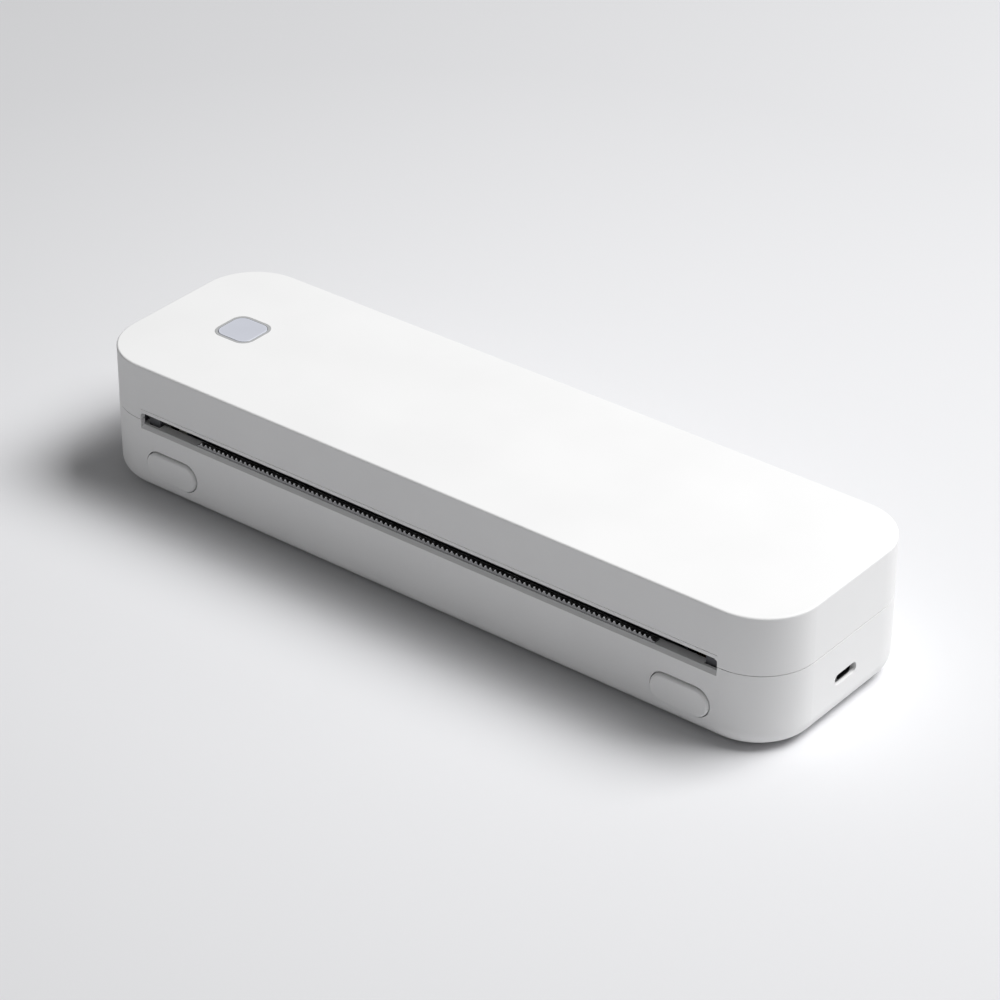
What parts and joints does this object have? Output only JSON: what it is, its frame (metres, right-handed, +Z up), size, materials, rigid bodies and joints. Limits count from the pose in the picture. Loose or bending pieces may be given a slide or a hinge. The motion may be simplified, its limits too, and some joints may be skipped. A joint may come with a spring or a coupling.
{
  "type": "a4 portable thermal printer",
  "caption": "Portable thermal printer: long white case with a hinged lid, toothed paper slot, two release buttons, power button, platen roller and sprung print head.",
  "frame": {"origin": "on the floor plane under the rubber feet, at the middle of the whole printer's outline, release buttons included", "axes": "+X along the length towards the charging inlet, +Y from the paper slot towards the hinge, +Z up through the lid"},
  "size_m": [0.315, 0.0902, 0.0551],
  "materials": {
    "case_white": "fine matt moulded white",
    "frame_grey": "matt dark grey moulding",
    "foot_rubber": "matt rubber",
    "steel": "zinc plated steel",
    "blade_steel": "punched spring steel",
    "chassis_steel": "galvanised sheet",
    "battery_wrap": "shrink wrap",
    "lead_red": "wire sleeve",
    "lead_grey": "wire sleeve",
    "circuit_board": "solder mask",
    "inlet_shell": "plated shell",
    "module_can": "tinned can",
    "connector": "ivory nylon",
    "black_plastic": "black moulding",
    "motor_case": "coated steel can",
    "gear_nylon": "natural acetal",
    "brass": "turned brass",
    "heat_sink": "extruded aluminium",
    "ceramic": "glazed alumina",
    "flex": "polyimide film",
    "button_white": "fine matt moulded white",
    "slider_grey": "acetal",
    "platen_rubber": "ground silicone rubber",
    "ring_grey": "satin grey",
    "cap_blue_grey": "satin translucent"
  },
  "bodies": {
    "base": {"base_shell": "case_white", "rubber_feet": "foot_rubber", "case_screws": "steel", "inner_frame": "frame_grey", "tear_bar": "blade_steel", "head_chassis": "chassis_steel", "chassis_screws": "steel", "hinge_pins": "steel", "battery_pack": "battery_wrap", "battery_lead": "lead_red", "main_board": "circuit_board", "board_screws": "steel", "usb_c_inlet": "inlet_shell", "wireless_module": "module_can", "board_connectors": "connector", "paper_sensor": "black_plastic", "lid_switch": "black_plastic", "motor_bracket": "chassis_steel", "stepper_motor": "motor_case", "motor_screws": "steel", "motor_lead": "lead_grey", "gear_studs": "steel", "gear_clips": "steel", "head_pivot_pins": "steel", "head_springs": "steel", "head_ribbon": "flex", "left_latch_spring": "steel", "right_latch_spring": "steel"},
    "platen": {"platen_shaft": "steel", "platen_rubber": "platen_rubber", "platen_gear": "gear_nylon"},
    "idler": {"idler_gear": "gear_nylon"},
    "compound": {"compound_gear": "gear_nylon"},
    "motor": {"motor_shaft": "steel", "motor_pinion": "brass"},
    "print_head": {"head_bracket": "chassis_steel", "head_heat_sink": "heat_sink", "head_ceramic_strip": "ceramic", "head_driver_cover": "black_plastic"},
    "left_release": {"left_release_button": "button_white", "left_latch_slider": "slider_grey"},
    "right_release": {"right_release_button": "button_white", "right_latch_slider": "slider_grey"},
    "power_button": {"power_button_cap": "cap_blue_grey", "switch_plunger": "black_plastic"},
    "lid": {"lid_shell": "case_white", "lid_liner": "frame_grey", "liner_screws": "steel", "platen_bushings": "gear_nylon", "power_button_ring": "ring_grey", "switch_body": "black_plastic", "button_board": "circuit_board", "button_board_screws": "steel", "lid_ribbon": "flex"}
  },
  "joints": [
    {"name": "lid_hinge", "type": "hinge", "parent": "base", "child": "lid", "pos_m": [0, 0.0406, 0.0363], "axis": [-1, 0, 0], "range_deg": [0, 85]},
    {"name": "platen_spin", "type": "hinge", "parent": "lid", "child": "platen", "pos_m": [0, -0.0294, 0.0393], "axis": [1, 0, 0], "continuous": true},
    {"name": "idler_spin", "type": "hinge", "parent": "base", "child": "idler", "pos_m": [-0.119, -0.0294, 0.0255], "axis": [1, 0, 0], "continuous": true},
    {"name": "compound_spin", "type": "hinge", "parent": "base", "child": "compound", "pos_m": [-0.122, -0.02147, 0.01908], "axis": [1, 0, 0], "continuous": true},
    {"name": "motor_spin", "type": "hinge", "parent": "base", "child": "motor", "pos_m": [-0.128, -0.00739, 0.01609], "axis": [1, 0, 0], "continuous": true},
    {"name": "head_pivot", "type": "hinge", "parent": "base", "child": "print_head", "pos_m": [0, -0.0159, 0.028], "axis": [1, 0, 0], "range_deg": [0, 3], "stiffness_Nm_per_rad": 0.5, "springref_deg": -5.73, "deforming": ["head_springs", "head_ribbon"]},
    {"name": "left_release_press", "type": "slide", "parent": "base", "child": "left_release", "axis": [0, 1, 0], "range_m": [0, 0.002], "stiffness_N_per_m": 200, "springref_m": -0.002, "deforming": ["left_latch_spring"]},
    {"name": "right_release_press", "type": "slide", "parent": "base", "child": "right_release", "axis": [0, 1, 0], "range_m": [0, 0.002], "stiffness_N_per_m": 200, "springref_m": -0.002, "deforming": ["right_latch_spring"]},
    {"name": "power_button_press", "type": "slide", "parent": "lid", "child": "power_button", "axis": [0, 0, -1], "range_m": [0, 0.0004], "stiffness_N_per_m": 200, "springref_m": -0.0005}
  ],
  "couplings": [
    {"joint": "idler_spin", "follows": "platen_spin", "ratio": -1.3},
    {"joint": "compound_spin", "follows": "platen_spin", "ratio": 1.8571},
    {"joint": "motor_spin", "follows": "platen_spin", "ratio": -5.5714}
  ]
}
